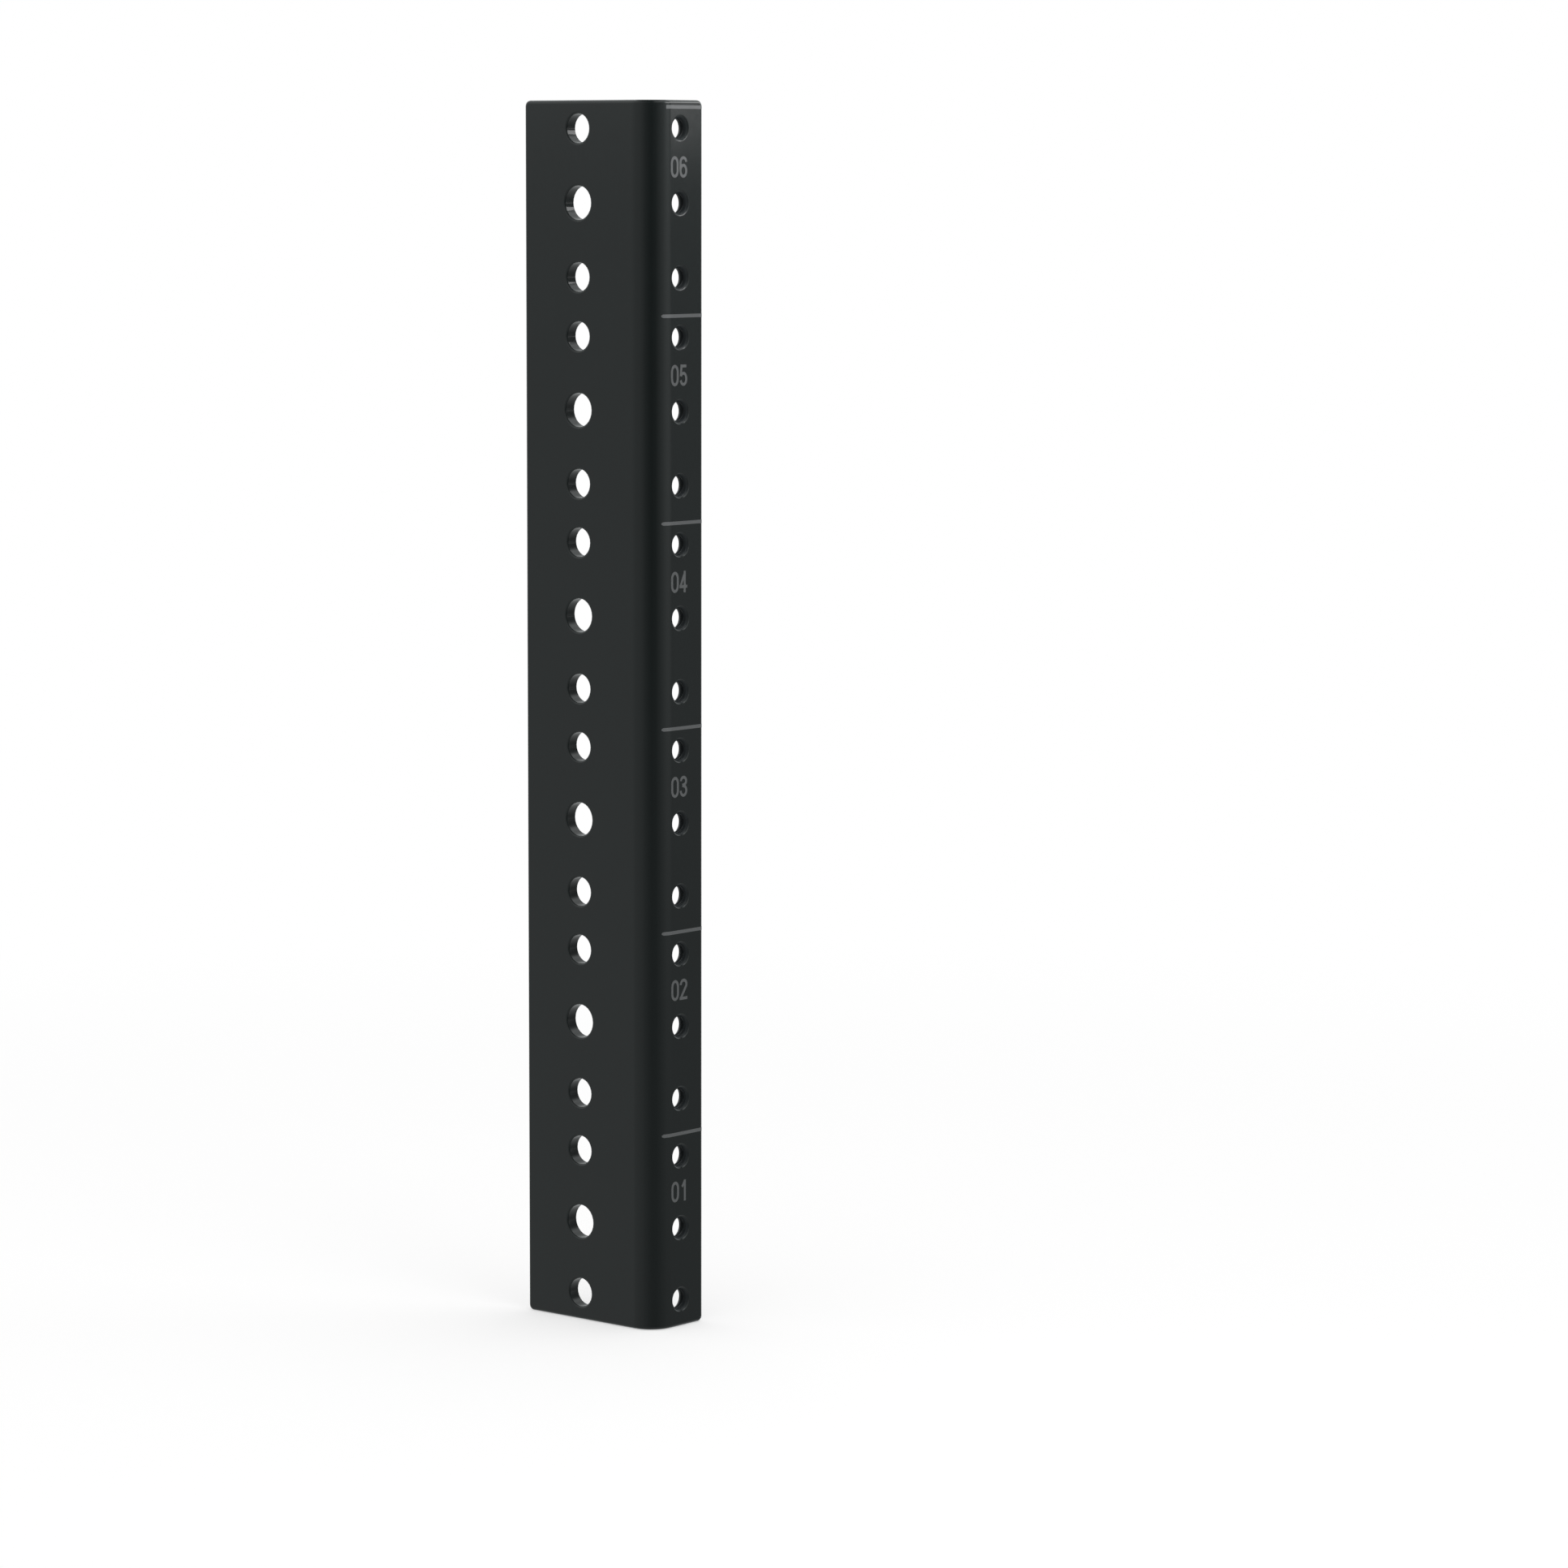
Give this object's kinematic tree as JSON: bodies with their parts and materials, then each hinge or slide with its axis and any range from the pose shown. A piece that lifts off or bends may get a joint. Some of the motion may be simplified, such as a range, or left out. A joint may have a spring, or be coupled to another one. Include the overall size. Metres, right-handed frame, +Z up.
{
  "type": "rack mounting rail",
  "caption": "Black steel angle rail with a line of plain punched holes in its wide flange and a line of tapped holes in its narrow flange.",
  "frame": {"origin": "under the middle of the rail's box, at the foot it stands on", "axes": "+Z up along the rail, -Y out of the narrow tapped flange, -X out of the wide flange"},
  "size_m": [0.0164, 0.037, 0.266],
  "materials": {
    "black_powder_coat": "satin black powder coat"
  },
  "bodies": {
    "root": {"punched_angle": "black_powder_coat"}
  },
  "joints": []
}
